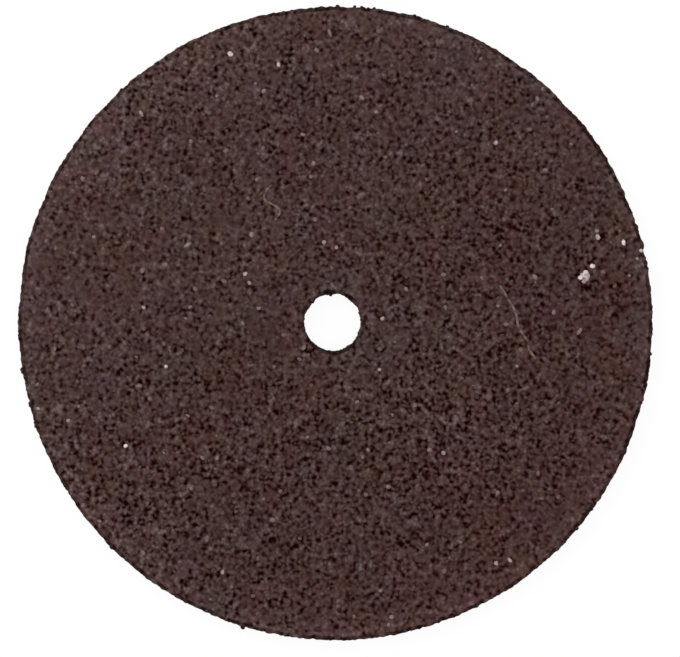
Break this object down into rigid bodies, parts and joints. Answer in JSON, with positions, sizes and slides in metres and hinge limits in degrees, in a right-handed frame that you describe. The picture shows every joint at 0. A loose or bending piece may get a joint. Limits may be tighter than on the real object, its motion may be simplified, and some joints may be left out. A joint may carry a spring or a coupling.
{
  "type": "cut off wheel",
  "caption": "Small thin cut-off wheel for a rotary tool: a flat disc of dark brown abrasive grain in resin, with a plain round bore.",
  "frame": {"origin": "on the bore's axis, at the underside that the disc lies on; the rim runs 0.12 mm out of true round it, as in the picture", "axes": "+Z along the bore's axis, out of the upper face; X and Y across the disc, +X to the picture's right and +Y to its top"},
  "size_m": [0.0222, 0.0223, 0.0006],
  "materials": {
    "abrasive": "matte"
  },
  "bodies": {
    "root": {"cut_off_wheel": "abrasive"}
  },
  "joints": []
}
